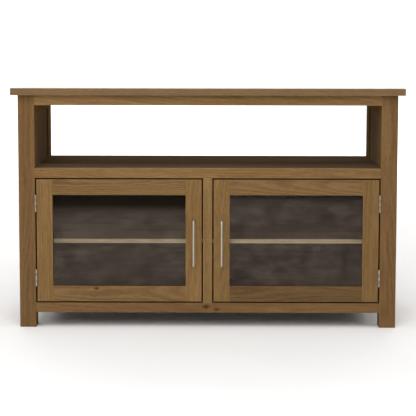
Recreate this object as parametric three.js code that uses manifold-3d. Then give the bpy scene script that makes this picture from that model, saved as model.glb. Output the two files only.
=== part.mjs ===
// Oak media cabinet: an open bay under the top board, and below it two cupboards behind framed glass doors.
// Millimetres, +Z up. The front faces -Y. The origin is on the floor, in the middle of the cabinet's width and depth.
// Posts and rails are joined by mortise and tenon, the side panels float in grooves, each door hangs on two butt hinges.
import * as THREE from "three";
import { mergeVertices } from "three/addons/utils/BufferGeometryUtils.js";
import Module from "manifold-3d";

const wasm = await Module();
wasm.setup();

// ---- Driving sizes ----

// Overall, across the top board
const TOP_WIDTH = 1200;
const TOP_DEPTH = 450;
const TOP_THICKNESS = 22;
const SIDE_OVERHANG = 20;
const FRONT_OVERHANG = 20;

// Heights, from the floor up
const LEG_CLEARANCE = 46;
const BOTTOM_RAIL_HEIGHT = 30;
const CUPBOARD_HEIGHT = 388;
const MID_RAIL_HEIGHT = 30;
const BAY_HEIGHT = 193;
const APRON_HEIGHT = 31;

// Posts, rails and panels
const POST_WIDTH = 50;
const FRONT_POST_DEPTH = 50;
const REAR_POST_DEPTH = 75;
const RAIL_THICKNESS = 22;
const RAIL_SETBACK = 1;
const REAR_RAIL_HEIGHT = 60;
const SIDE_RAIL_HEIGHT = 60;
const SIDE_RAIL_THICKNESS = 28;
const SIDE_PANEL_THICKNESS = 14;
const SIDE_PANEL_RECESS = 6;
const CENTRE_POST_WIDTH = 28;
const PARTITION_THICKNESS = 18;
const DECK_THICKNESS = 18;
const BASE_THICKNESS = 16;
const BACK_THICKNESS = 6;

// Joinery
const FIT = 0.3;
const TENON_LENGTH = 20;
const TENON_THICKNESS = 8;
const TENON_SHOULDER = 10;
const GROOVE_DEPTH = 8;

// Shelves and their pegs
const SHELF_THICKNESS = 13;
const SHELF_ABOVE_BASE = 177.5;
const SHELF_FRONT_SETBACK = 60;
const PEG_RADIUS = 3;
const PEG_BEARING = 12;
const PEG_HOLE_DEPTH = 9;
const PEG_FROM_POST = 45;

// Doors
const DOOR_GAP = 4.5;
const DOOR_THICKNESS = 20;
const STILE_WIDTH = 49;
const DOOR_TOP_RAIL_HEIGHT = 48;
const DOOR_BOTTOM_RAIL_HEIGHT = 48;
const GLASS_LIP = 8;
const GLASS_REBATE = 8;
const GLASS_THICKNESS = 4;

// Handles: a round bar bent back at both ends
const HANDLE_LENGTH = 146;
const HANDLE_BELOW_DOOR_MIDDLE = 6;
const HANDLE_REACH = 30;
const HANDLE_RADIUS = 3;

// Butt hinges
const HINGE_LENGTH = 51;
const HINGE_FROM_DOOR_END = 74;
const HINGE_LEAF_PLAY = 0.7;
const HINGE_LEAF_DEPTH = 18;
const KNUCKLE_RADIUS = 3;
const KNUCKLES = 5;
const PIN_RADIUS = 1.5;
const PIN_HEAD_RADIUS = 2.4;
const PIN_HEAD_HEIGHT = 1.2;

// Magnetic catches
const CATCH_WIDTH = 40;
const CATCH_DEPTH = 15;
const CATCH_DROP = 30;
const STRIKE_WIDTH = 36;
const STRIKE_HEIGHT = 10;
const STRIKE_THICKNESS = 1.5;
const STRIKE_FROM_DOOR_TOP = 4.5;

// Sides of the polygon that stands for round stock
const BAR_SIDES = 16;

// ---- Places worked out from the driving sizes ----

const carcassDepth = TOP_DEPTH - FRONT_OVERHANG;
const outerX = TOP_WIDTH / 2 - SIDE_OVERHANG;
const innerX = outerX - POST_WIDTH;
const baseTop = LEG_CLEARANCE + BOTTOM_RAIL_HEIGHT;
const cupboardTop = baseTop + CUPBOARD_HEIGHT;
const deckTop = cupboardTop + MID_RAIL_HEIGHT;
const bayTop = deckTop + BAY_HEIGHT;
const topUnderside = bayTop + APRON_HEIGHT;
const deckUnderside = deckTop - DECK_THICKNESS;

const frontRailY = [RAIL_SETBACK, RAIL_SETBACK + RAIL_THICKNESS];
const rearRailY = [carcassDepth - RAIL_SETBACK - RAIL_THICKNESS, carcassDepth - RAIL_SETBACK];
const sideY = [FRONT_POST_DEPTH, carcassDepth - REAR_POST_DEPTH];
const boardY = [frontRailY[1] + FIT, rearRailY[0] - FIT];
const backY = [boardY[1] - BACK_THICKNESS, boardY[1]];
const insideBackY = backY[0] - FIT;

const panelInnerX = innerX + SIDE_PANEL_RECESS;
const doorInnerX = CENTRE_POST_WIDTH / 2 + DOOR_GAP;
const doorOuterX = innerX - DOOR_GAP;
const doorBottom = baseTop + DOOR_GAP;
const doorTop = cupboardTop - DOOR_GAP;
const doorFrontY = RAIL_SETBACK;
const doorBackY = doorFrontY + DOOR_THICKNESS;

const hingeX = innerX - DOOR_GAP / 2;
const hingeY = -KNUCKLE_RADIUS - FIT;
const hingeLeafThickness = (DOOR_GAP - HINGE_LEAF_PLAY) / 2 - FIT;
const shelfUnderside = baseTop + SHELF_ABOVE_BASE;
const reachInFront = Math.max(FRONT_OVERHANG, HANDLE_REACH - doorFrontY);

// ---- Finishes ----

const finish = (color, roughness, metalness = 0, more = {}) =>
  new THREE.MeshStandardMaterial({ color, roughness, metalness, ...more });
const finishes = {
  oak: () => finish(0x7d5e3f, 0.55),
  doorOak: () => finish(0x8a6a45, 0.5),
  boardOak: () => finish(0x6f5539, 0.6),
  backPly: () => finish(0x5a4836, 0.8),
  shelfOak: () => finish(0x98876d, 0.6),
  glass: () => finish(0x2c2822, 0.08, 0, { transparent: true, opacity: 0.35 }),
  steel: () => finish(0xa8a297, 0.35, 1),
  nylon: () => finish(0x4a3a2a, 0.6),
};

// ---- Solids ----

/** A closed three.js geometry as a manifold-3d solid. */
function solidFrom(geometry) {
  geometry.deleteAttribute("normal");
  geometry.deleteAttribute("uv");
  const merged = mergeVertices(geometry);
  return new wasm.Manifold(
    new wasm.Mesh({
      numProp: 3,
      vertProperties: new Float32Array(merged.attributes.position.array),
      triVerts: new Uint32Array(merged.index.array),
    }),
  );
}

/** A manifold-3d solid as a three.js geometry with flat facets. */
function geometryFrom(solid) {
  const mesh = solid.getMesh();
  const geometry = new THREE.BufferGeometry();
  geometry.setAttribute("position", new THREE.BufferAttribute(mesh.vertProperties, mesh.numProp));
  geometry.setIndex(new THREE.BufferAttribute(mesh.triVerts, 1));
  const faceted = geometry.toNonIndexed();
  faceted.computeVertexNormals();
  return faceted;
}

/** A rectangular block between two values on each axis, given in either order. */
function block(x, y, z) {
  const size = [x, y, z].map(([a, b]) => Math.abs(b - a));
  const middle = [x, y, z].map(([a, b]) => (a + b) / 2);
  return solidFrom(new THREE.BoxGeometry(...size).translate(...middle));
}

/** A round bar along one axis, through a centre given on the other two, between two values on that axis. */
function roundBar(axis, centre, [from, to], radius) {
  const bar = new THREE.CylinderGeometry(radius, radius, Math.abs(to - from), BAR_SIDES);
  if (axis === "x") bar.rotateZ(Math.PI / 2);
  if (axis === "z") bar.rotateX(Math.PI / 2);
  const place = { ...centre, [axis]: (from + to) / 2 };
  return solidFrom(bar.translate(place.x, place.y, place.z));
}

const ball = (centre, radius) =>
  solidFrom(new THREE.SphereGeometry(radius, BAR_SIDES, BAR_SIDES / 2).translate(...centre));

const grown = ([a, b], by) => [a - by, b + by];
const centred = (middle, width) => [middle - width / 2, middle + width / 2];

/**
 * A rail or stile with a tenon at each end, and the mortises that its neighbours are cut with.
 * axis is the way it runs, thin the way it is thinnest, and span its shoulder-to-shoulder box.
 */
function tenoned(axis, thin, span) {
  const wide = ["x", "y", "z"].find((a) => a !== axis && a !== thin);
  const thinMiddle = (span[thin][0] + span[thin][1]) / 2;
  const barAndTenons = [
    { ...span, [axis]: grown(span[axis], -FIT) },
    {
      [axis]: grown(span[axis], TENON_LENGTH),
      [thin]: centred(thinMiddle, TENON_THICKNESS),
      [wide]: grown(span[wide], -TENON_SHOULDER),
    },
  ].map(({ x, y, z }) => block(x, y, z));
  const mortise = {
    [axis]: grown(span[axis], TENON_LENGTH + FIT),
    [thin]: centred(thinMiddle, TENON_THICKNESS + 2 * FIT),
    [wide]: grown(span[wide], FIT - TENON_SHOULDER),
  };
  return {
    solid: barAndTenons[0].add(barAndTenons[1]),
    mortise: block(mortise.x, mortise.y, mortise.z),
  };
}

// ---- The scene graph ----

const cabinet = new THREE.Group();
cabinet.position.y = (reachInFront - carcassDepth) / 2;

/** Adds a solid to a group as a named mesh with its own material, the mesh's origin at its middle. */
function addPiece(group, name, solid, material) {
  const geometry = geometryFrom(solid);
  geometry.computeBoundingBox();
  const middle = geometry.boundingBox.getCenter(new THREE.Vector3());
  geometry.translate(-middle.x, -middle.y, -middle.z);
  const mesh = new THREE.Mesh(geometry, material);
  mesh.name = name;
  mesh.position.copy(middle);
  group.add(mesh);
}

const sides = [
  { name: "left", sign: -1 },
  { name: "right", sign: 1 },
];
const mirrored = (sign, [a, b]) => (sign > 0 ? [a, b] : [-b, -a]);

// ---- Rails that cross the cabinet ----

const betweenPosts = [-innerX, innerX];
const crossRails = {
  front_apron: tenoned("x", "y", { x: betweenPosts, y: frontRailY, z: [bayTop, topUnderside - FIT] }),
  rear_apron: tenoned("x", "y", { x: betweenPosts, y: rearRailY, z: [bayTop, topUnderside - FIT] }),
  front_mid_rail: tenoned("x", "y", { x: betweenPosts, y: frontRailY, z: [cupboardTop, deckTop] }),
  rear_mid_rail: tenoned("x", "y", {
    x: betweenPosts,
    y: rearRailY,
    z: [deckTop - REAR_RAIL_HEIGHT, deckTop],
  }),
  front_bottom_rail: tenoned("x", "y", { x: betweenPosts, y: frontRailY, z: [LEG_CLEARANCE, baseTop] }),
  rear_bottom_rail: tenoned("x", "y", {
    x: betweenPosts,
    y: rearRailY,
    z: [LEG_CLEARANCE, LEG_CLEARANCE + REAR_RAIL_HEIGHT],
  }),
};
const centrePost = tenoned("z", "y", {
  x: centred(0, CENTRE_POST_WIDTH),
  y: frontRailY,
  z: [baseTop, cupboardTop],
});
for (const [name, rail] of Object.entries(crossRails)) {
  const carriesCentrePost = name === "front_mid_rail" || name === "front_bottom_rail";
  const solid = carriesCentrePost ? rail.solid.subtract(centrePost.mortise) : rail.solid;
  addPiece(cabinet, name, solid, finishes.oak());
}
addPiece(cabinet, "centre_post", centrePost.solid, finishes.oak());

// ---- Each end: two posts, two side rails, a floating panel ----

const panelZ = grown(
  [LEG_CLEARANCE + SIDE_RAIL_HEIGHT, topUnderside - SIDE_RAIL_HEIGHT],
  GROOVE_DEPTH,
);
const shelfY = [SHELF_FRONT_SETBACK, insideBackY];
const pegPlaces = {
  front: sideY[0] + PEG_FROM_POST,
  rear: sideY[1] - PEG_FROM_POST,
};
const pegZ = shelfUnderside - FIT - PEG_RADIUS;
const pegBar = (y, span, spare = 0) =>
  roundBar("x", { y, z: pegZ }, grown(span, spare), PEG_RADIUS + spare);

for (const { name: side, sign } of sides) {
  const railX = mirrored(sign, [innerX, innerX + SIDE_RAIL_THICKNESS]);
  const sideRails = {
    top: tenoned("y", "x", {
      x: railX,
      y: sideY,
      z: [topUnderside - SIDE_RAIL_HEIGHT, topUnderside - FIT],
    }),
    bottom: tenoned("y", "x", {
      x: railX,
      y: sideY,
      z: [LEG_CLEARANCE, LEG_CLEARANCE + SIDE_RAIL_HEIGHT],
    }),
  };
  const panelX = mirrored(sign, [panelInnerX, panelInnerX + SIDE_PANEL_THICKNESS]);
  const grooves = block(
    mirrored(sign, grown([panelInnerX, panelInnerX + SIDE_PANEL_THICKNESS], FIT)),
    grown(sideY, GROOVE_DEPTH),
    panelZ,
  );

  const mortises = [...Object.values(crossRails), ...Object.values(sideRails)].map((r) => r.mortise);
  const postYs = { front: [0, FRONT_POST_DEPTH], rear: [sideY[1], carcassDepth] };
  for (const [place, y] of Object.entries(postYs)) {
    const blank = block(mirrored(sign, [innerX, outerX]), y, [0, topUnderside - FIT]);
    const post = mortises.reduce((left, mortise) => left.subtract(mortise), blank.subtract(grooves));
    addPiece(cabinet, `${place}_post_${side}`, post, finishes.oak());
  }
  for (const [place, rail] of Object.entries(sideRails)) {
    addPiece(cabinet, `side_${place}_rail_${side}`, rail.solid.subtract(grooves), finishes.oak());
  }

  const pegX = mirrored(sign, [innerX - PEG_BEARING, panelInnerX + PEG_HOLE_DEPTH]);
  const wholePanel = block(panelX, grown(sideY, GROOVE_DEPTH - FIT), grown(panelZ, -FIT));
  const pegYs = Object.entries(pegPlaces);
  const panel = pegYs.reduce((left, [, y]) => left.subtract(pegBar(y, pegX, FIT)), wholePanel);
  addPiece(cabinet, `side_panel_${side}`, panel, finishes.boardOak());
  for (const [place, y] of pegYs) {
    addPiece(cabinet, `shelf_peg_${side}_${place}`, pegBar(y, pegX), finishes.steel());
  }

  const shelfX = mirrored(sign, grown([PARTITION_THICKNESS / 2, innerX], -FIT));
  const shelfZ = [shelfUnderside, shelfUnderside + SHELF_THICKNESS];
  addPiece(cabinet, `shelf_${side}`, block(shelfX, shelfY, shelfZ), finishes.shelfOak());
}

// ---- Boards ----

const topY = [-FRONT_OVERHANG, carcassDepth];
const topZ = [topUnderside, topUnderside + TOP_THICKNESS];
addPiece(cabinet, "top_board", block(centred(0, TOP_WIDTH), topY, topZ), finishes.oak());

// The deck has ears that reach the side panels between the posts; the base stops at the side rails.
const deckZ = [deckUnderside, deckTop];
const deckMain = block(grown(betweenPosts, -FIT), boardY, deckZ);
const deckEars = block(grown([-panelInnerX, panelInnerX], -FIT), grown(sideY, -FIT), deckZ);
addPiece(cabinet, "deck_board", deckMain.add(deckEars), finishes.boardOak());
const base = block(grown(betweenPosts, -FIT), boardY, [baseTop - BASE_THICKNESS, baseTop]);
addPiece(cabinet, "base_board", base, finishes.boardOak());

const insideZ = grown([baseTop, deckUnderside], -FIT);
const throughPegX = centred(0, PARTITION_THICKNESS + 2 * PEG_BEARING);
const partition = Object.values(pegPlaces).reduce(
  (left, y) => left.subtract(pegBar(y, throughPegX, FIT)),
  block(centred(0, PARTITION_THICKNESS), [boardY[0], insideBackY], insideZ),
);
addPiece(cabinet, "centre_partition", partition, finishes.boardOak());
for (const [place, y] of Object.entries(pegPlaces)) {
  addPiece(cabinet, `shelf_peg_centre_${place}`, pegBar(y, throughPegX), finishes.steel());
}

addPiece(cabinet, "back_panel", block(grown(betweenPosts, -FIT), backY, insideZ), finishes.backPly());

// ---- Doors: each group's origin is on its hinge axis at floor level ----

/** The closed bar handle: a straight grip, two legs and a ball that rounds each corner. */
function handleSolid(x, gripY, faceY, middleZ) {
  const ends = centred(middleZ, HANDLE_LENGTH - 2 * HANDLE_RADIUS);
  const grip = roundBar("z", { x, y: gripY }, ends, HANDLE_RADIUS);
  return ends.reduce((whole, z) => {
    const leg = roundBar("y", { x, z }, [gripY, faceY - FIT], HANDLE_RADIUS);
    return whole.add(leg).add(ball([x, gripY, z], HANDLE_RADIUS));
  }, grip);
}

/** One leaf of a butt hinge about the Z axis: a plate, the knuckles of its parity and the pin's bore. */
function hingeLeaf(plateX, plateBackY, bottom, parity) {
  const pitch = HINGE_LENGTH / KNUCKLES;
  const whole = [bottom, bottom + HINGE_LENGTH];
  const axis = { x: 0, y: 0 };
  let leaf = block(plateX, [0, plateBackY], whole);
  for (let i = 0; i < KNUCKLES; i++) {
    const z = [bottom + i * pitch, bottom + (i + 1) * pitch];
    const own = i % 2 === parity;
    const room = i === 0 || i === KNUCKLES - 1 ? z : grown(z, FIT / 2);
    leaf = own
      ? leaf.add(roundBar("z", axis, grown(z, -FIT / 2), KNUCKLE_RADIUS))
      : leaf.subtract(roundBar("z", axis, room, KNUCKLE_RADIUS + FIT));
  }
  return leaf.subtract(roundBar("z", axis, grown(whole, FIT), PIN_RADIUS + FIT));
}

/** The hinge pin: a rod with a flat head at each end, turned about the hinge axis. */
function hingePin(bottom) {
  const headStart = FIT + PIN_HEAD_HEIGHT;
  const top = bottom + HINGE_LENGTH;
  const profile = [
    [0, bottom - headStart],
    [PIN_HEAD_RADIUS, bottom - headStart],
    [PIN_HEAD_RADIUS, bottom - FIT],
    [PIN_RADIUS, bottom - FIT],
    [PIN_RADIUS, top + FIT],
    [PIN_HEAD_RADIUS, top + FIT],
    [PIN_HEAD_RADIUS, top + headStart],
    [0, top + headStart],
  ].map(([r, z]) => new THREE.Vector2(r, z));
  return solidFrom(new THREE.LatheGeometry(profile, BAR_SIDES).rotateX(Math.PI / 2));
}

/** A framed glass door with its handle, strike plate and hinges. inward is the way from hinge to centre post. */
function addDoor(side, inward) {
  const door = new THREE.Group();
  door.position.set(-inward * hingeX, hingeY, 0);
  cabinet.add(door);

  const localX = (distanceFromHingeX) => inward * (hingeX - distanceFromHingeX);
  const hingeEdge = localX(doorOuterX);
  const freeEdge = localX(doorInnerX);
  const y = [doorFrontY - hingeY, doorBackY - hingeY];
  const glassX = [hingeEdge + inward * STILE_WIDTH, freeEdge - inward * STILE_WIDTH];
  const glassZ = [doorBottom + DOOR_BOTTOM_RAIL_HEIGHT, doorTop - DOOR_TOP_RAIL_HEIGHT];
  const sortedGlassX = glassX.toSorted((a, b) => a - b);
  const rebateY = [y[0] + GLASS_LIP, y[1]];

  const rails = {
    top: tenoned("x", "y", { x: sortedGlassX, y, z: [glassZ[1], doorTop] }),
    bottom: tenoned("x", "y", { x: sortedGlassX, y, z: [doorBottom, glassZ[0]] }),
  };
  const rebate = block(grown(sortedGlassX, GLASS_REBATE), grown(rebateY, FIT), grown(glassZ, GLASS_REBATE));
  for (const [place, rail] of Object.entries(rails)) {
    addPiece(door, `door_${place}_rail_${side}`, rail.solid.subtract(rebate), finishes.doorOak());
  }
  const stiles = {
    hinge: [hingeEdge, glassX[0]],
    handle: [glassX[1], freeEdge],
  };
  for (const [place, x] of Object.entries(stiles)) {
    const cuts = [rails.top.mortise, rails.bottom.mortise, rebate];
    const stile = cuts.reduce((left, cut) => left.subtract(cut), block(x, y, [doorBottom, doorTop]));
    addPiece(door, `door_${place}_stile_${side}`, stile, finishes.doorOak());
  }

  const paneX = grown(sortedGlassX, GLASS_REBATE - FIT);
  const paneZ = grown(glassZ, GLASS_REBATE - FIT);
  const paneY = [rebateY[0] + FIT, rebateY[0] + FIT + GLASS_THICKNESS];
  addPiece(door, `door_glass_${side}`, block(paneX, paneY, paneZ), finishes.glass());
  const beadY = [paneY[1] + FIT, y[1]];
  const beadHole = block(sortedGlassX, grown(beadY, FIT), glassZ);
  addPiece(door, `glazing_bead_${side}`, block(paneX, beadY, paneZ).subtract(beadHole), finishes.doorOak());

  const handleStileX = (stiles.handle[0] + stiles.handle[1]) / 2;
  const gripY = y[0] - HANDLE_REACH + HANDLE_RADIUS;
  const handleZ = (doorBottom + doorTop) / 2 - HANDLE_BELOW_DOOR_MIDDLE;
  const handle = handleSolid(handleStileX, gripY, y[0], handleZ);
  addPiece(door, `door_handle_${side}`, handle, finishes.steel());

  const strikeY = [y[1] + FIT, y[1] + FIT + STRIKE_THICKNESS];
  const strikeTop = doorTop - STRIKE_FROM_DOOR_TOP;
  const strikeZ = [strikeTop - STRIKE_HEIGHT, strikeTop];
  const strike = block(centred(handleStileX, STRIKE_WIDTH), strikeY, strikeZ);
  addPiece(door, `strike_plate_${side}`, strike, finishes.steel());
  const catchY = [strikeY[1] + FIT + hingeY, strikeY[1] + FIT + hingeY + CATCH_DEPTH];
  const catchX = centred(-inward * hingeX + handleStileX, CATCH_WIDTH);
  const magnet = block(catchX, catchY, [deckUnderside - FIT - CATCH_DROP, deckUnderside - FIT]);
  addPiece(cabinet, `magnet_catch_${side}`, magnet, finishes.nylon());

  const hingeMiddles = { top: doorTop - HINGE_FROM_DOOR_END, bottom: doorBottom + HINGE_FROM_DOOR_END };
  const leafBackY = HINGE_LEAF_DEPTH - hingeY;
  const leafX = grown([0, DOOR_GAP / 2], -FIT).map((x) => inward * x);
  const doorLeafX = [leafX[1], leafX[1] - inward * hingeLeafThickness];
  const frameLeafX = doorLeafX.map((x) => -x);
  for (const [place, middle] of Object.entries(hingeMiddles)) {
    const bottom = middle - HINGE_LENGTH / 2;
    const label = `${side}_${place}`;
    addPiece(door, `hinge_frame_leaf_${label}`, hingeLeaf(frameLeafX, leafBackY, bottom, 0), finishes.steel());
    addPiece(door, `hinge_door_leaf_${label}`, hingeLeaf(doorLeafX, leafBackY, bottom, 1), finishes.steel());
    addPiece(door, `hinge_pin_${label}`, hingePin(bottom), finishes.steel());
  }
}

addDoor("left", 1);
addDoor("right", -1);

export default cabinet;
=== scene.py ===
"""Looks of the oak media cabinet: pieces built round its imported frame, and the studio they stand in.

Every length is in metres. Pieces take their places from the frame's own pieces; only the knots in the wood
and the things of the studio have places of their own.
"""

import logging
import math
from collections.abc import Mapping, Sequence
from dataclasses import dataclass, field
from enum import Enum
from typing import Protocol

import bpy
import numpy as np
from mathutils import Matrix, Vector


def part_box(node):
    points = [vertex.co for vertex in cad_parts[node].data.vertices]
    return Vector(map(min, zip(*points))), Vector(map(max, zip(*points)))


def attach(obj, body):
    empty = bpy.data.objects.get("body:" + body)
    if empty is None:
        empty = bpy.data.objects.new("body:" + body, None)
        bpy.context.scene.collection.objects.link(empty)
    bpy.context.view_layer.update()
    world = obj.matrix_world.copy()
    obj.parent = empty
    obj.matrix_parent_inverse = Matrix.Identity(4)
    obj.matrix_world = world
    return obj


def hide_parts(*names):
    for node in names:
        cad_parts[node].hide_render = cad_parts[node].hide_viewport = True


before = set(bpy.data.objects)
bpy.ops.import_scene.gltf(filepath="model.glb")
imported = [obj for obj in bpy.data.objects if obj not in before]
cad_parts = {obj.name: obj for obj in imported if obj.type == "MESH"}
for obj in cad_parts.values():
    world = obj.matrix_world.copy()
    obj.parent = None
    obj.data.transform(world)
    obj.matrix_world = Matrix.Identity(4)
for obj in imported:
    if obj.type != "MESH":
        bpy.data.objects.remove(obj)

Array = np.ndarray
Colour = tuple[float, float, float]
Luck = np.random.Generator
Material = bpy.types.Material
Point = tuple[float, float, float]
Socket = bpy.types.NodeSocket
Span = tuple[float, float]

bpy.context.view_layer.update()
MM = 0.001
QUARTER_TURN = math.pi / 2
FULL_TURN = 2 * math.pi
NEAR_FLAT = 0.01
LUCK_SEED = 1207
CARCASS = "carcass"

log = logging.getLogger("media_cabinet")


# ---- Names that the pieces share ----


class Axis(Enum):
    """A direction of the cabinet: across it, from front to back, or up."""

    ACROSS = 0
    DEEP = 1
    UP = 2

    @property
    def unit(self) -> Vector:
        """The direction as a vector of length one."""
        return Vector([float(i == self.value) for i in range(3)])

    @property
    def others(self) -> tuple[int, int]:
        """The two axes that follow it in the order X, Y, Z, X."""
        return (self.value + 1) % 3, (self.value + 2) % 3


class Side(Enum):
    """One half of the cabinet, seen from the front."""

    LEFT = "left"
    RIGHT = "right"

    @property
    def sign(self) -> int:
        """The side of the middle that X is on."""
        return -1 if self is Side.LEFT else 1


class Slot(Enum):
    """The record's material slots."""

    FRAME = "oak_frame"
    DOORS = "oak_doors"
    BOARDS = "oak_boards"
    SHELVES = "oak_shelves"
    BACK = "back_plywood"
    GLASS = "door_glass"
    HANDLES = "steel_handles"
    HARDWARE = "steel_hardware"
    CATCH = "catch_plastic"


class Tone(Enum):
    """Middle colours of the oak in this cabinet, in linear light; some also carry painted light and shade, as
    noted at each.
    """

    TOP = (0.157, 0.090, 0.033)
    POST = (0.157, 0.088, 0.037)
    RAIL = (0.208, 0.120, 0.047)
    LOW_RAIL = (0.150, 0.084, 0.034)
    CENTRE = (0.252, 0.150, 0.058)
    STILE = (0.200, 0.115, 0.044)
    DOOR_RAIL = (0.190, 0.108, 0.045)
    # Partly painted shade: the deck's oak is drawn darker, for the shade that the top casts on it.
    BOARD = (0.116, 0.078, 0.044)
    # Partly painted sheen: the end panels' oak is drawn greyer and lighter, standing in for the pale sheen on
    # their inner faces, as they have no shine of their own.
    PANEL = (0.172, 0.114, 0.062)
    # Partly painted shade: the oak inside the doors is drawn darker, for the dim light in the closed cabinet.
    INSIDE = (0.084, 0.056, 0.032)
    SHELF = (0.250, 0.178, 0.100)
    # Partly the paler wood of the shelves' front edges, partly painted light: drawn far lighter than any oak,
    # for the light that falls on them through the glass.
    LIPPING = (0.800, 0.640, 0.410)
    # Partly painted shade: the back plywood is drawn darker, for the dim light in the closed cabinet.
    BACK = (0.100, 0.070, 0.043)


# ---- Shapes ----


@dataclass(frozen=True)
class Space:
    """A rectangular space between its lowest and its highest corner."""

    low: Array
    high: Array

    @classmethod
    def of(cls, node: str) -> "Space":
        """The space that a piece of the frame fills."""
        low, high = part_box(node)
        return cls(np.array(low), np.array(high))

    @classmethod
    def spanning(cls, x: Span, y: Span, z: Span) -> "Space":
        """The space between two values on each axis, given in either order."""
        ends = np.array([x, y, z], float)
        return cls(ends.min(axis=1), ends.max(axis=1))

    def span(self, axis: Axis) -> Span:
        """Where it starts and ends on one axis."""
        return float(self.low[axis.value]), float(self.high[axis.value])

    def cut(self, axis: Axis, low: float, high: float) -> "Space":
        """The same space with new ends on one axis."""
        lows, highs = self.low.copy(), self.high.copy()
        lows[axis.value], highs[axis.value] = low, high
        return Space(lows, highs)

    def inner_face(self, side: Side) -> float:
        """Where the face towards the cabinet's middle is, on X, for a piece of one side."""
        return float(self.high[0] if side is Side.LEFT else self.low[0])

    @property
    def middle(self) -> Array:
        """The centre point."""
        return (self.low + self.high) / 2


def clear(axis: Axis, before: str, after: str) -> Span:
    """The open span on one axis between two of the frame's pieces."""
    return Space.of(before).span(axis)[1], Space.of(after).span(axis)[0]


@dataclass(frozen=True)
class Shell:
    """A closed surface.

    points and normals have a row for each point. wear is 1 on an eased edge and 0 on a flat.
    """

    points: Array
    normals: Array
    wear: Array
    faces: list[list[int]]


def joined(shells: Sequence[Shell]) -> Shell:
    """Several shells as one.

    Args:
        shells: The closed surfaces, in order.
    Returns:
        One shell that holds them all.
    """
    firsts = np.cumsum([0] + [len(s.points) for s in shells[:-1]])
    return Shell(
        np.concatenate([s.points for s in shells]),
        np.concatenate([s.normals for s in shells]),
        np.concatenate([s.wear for s in shells]),
        [[i + int(first) for i in face] for first, s in zip(firsts, shells) for face in s.faces],
    )


def ring_faces(rings: int, around: int, capped: bool = True) -> list[list[int]]:
    """Faces of a tube made of rings of points.

    Args:
        rings: Number of rings.
        around: Points in each ring.
        capped: Whether a face closes each end.
    Returns:
        The faces, wound so that they point outwards.
    """
    ring, i = np.meshgrid(np.arange(rings - 1), np.arange(around), indexing="ij")
    start, following = ring * around + i, ring * around + (i + 1) % around
    quads = np.stack([start, following, following + around, start + around], axis=-1)
    faces = quads.reshape(-1, 4).tolist()
    if capped:
        faces.append(list(range(around))[::-1])
        faces.append(list(range((rings - 1) * around, rings * around)))
    return faces


def tube(points: Array, normals: Array, wear: Array | None = None) -> Shell:
    """A closed shell through rings of points.

    Args:
        points: The points, by ring and then by place round the ring.
        normals: The outward direction at each.
        wear: How worn each point is, or nothing for unworn.
    Returns:
        The shell, with a face closing each end.
    """
    rings, around = points.shape[:2]
    worn = np.zeros(rings * around) if wear is None else wear.reshape(-1)
    return Shell(points.reshape(-1, 3), normals.reshape(-1, 3), worn, ring_faces(rings, around))


@dataclass(frozen=True)
class Outline:
    """A closed line across a piece, anticlockwise, with the outward direction at each point."""

    points: Array
    normals: Array
    rounded: Array

    @classmethod
    def cornered(cls, corners: Sequence[Span], radius: float, steps: int = 3) -> "Outline":
        """A line of right-angled corners, each rounded by an arc.

        An arc's centre is its corner moved back by the radius along both neighbours' outward directions.
        A point on it is the centre plus the radius times a direction turning from one to the other.
        An inside corner does the same with the signs reversed.

        Args:
            corners: The sharp corners, anticlockwise.
            radius: Radius of every arc.
            steps: Parts that each arc is divided into.
        Returns:
            The rounded line.
        """
        sharp = np.array(corners, float)
        along = np.roll(sharp, -1, axis=0) - sharp
        along /= np.linalg.norm(along, axis=1)[:, None]
        after = np.stack([along[:, 1], -along[:, 0]], axis=1)
        before = np.roll(after, 1, axis=0)
        turn = np.sign(before[:, 0] * after[:, 1] - before[:, 1] * after[:, 0])[:, None, None]
        angle = np.linspace(0, QUARTER_TURN, steps + 1)[None, :, None]
        normals = before[:, None] * np.cos(angle) + after[:, None] * np.sin(angle)
        centres = sharp[:, None] - turn * radius * (before + after)[:, None]
        points = centres + turn * radius * normals
        turning = (angle > NEAR_FLAT) & (angle < QUARTER_TURN - NEAR_FLAT)
        inside = np.broadcast_to(turning, normals[..., :1].shape)
        return cls(points.reshape(-1, 2), normals.reshape(-1, 2), inside.reshape(-1).astype(float))

    @classmethod
    def rectangle(cls, u: Span, v: Span, radius: float) -> "Outline":
        """A rectangle with rounded corners, between two values on each of its axes."""
        (u0, u1), (v0, v1) = sorted(u), sorted(v)
        return cls.cornered([(u0, v0), (u1, v0), (u1, v1), (u0, v1)], radius)


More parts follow.
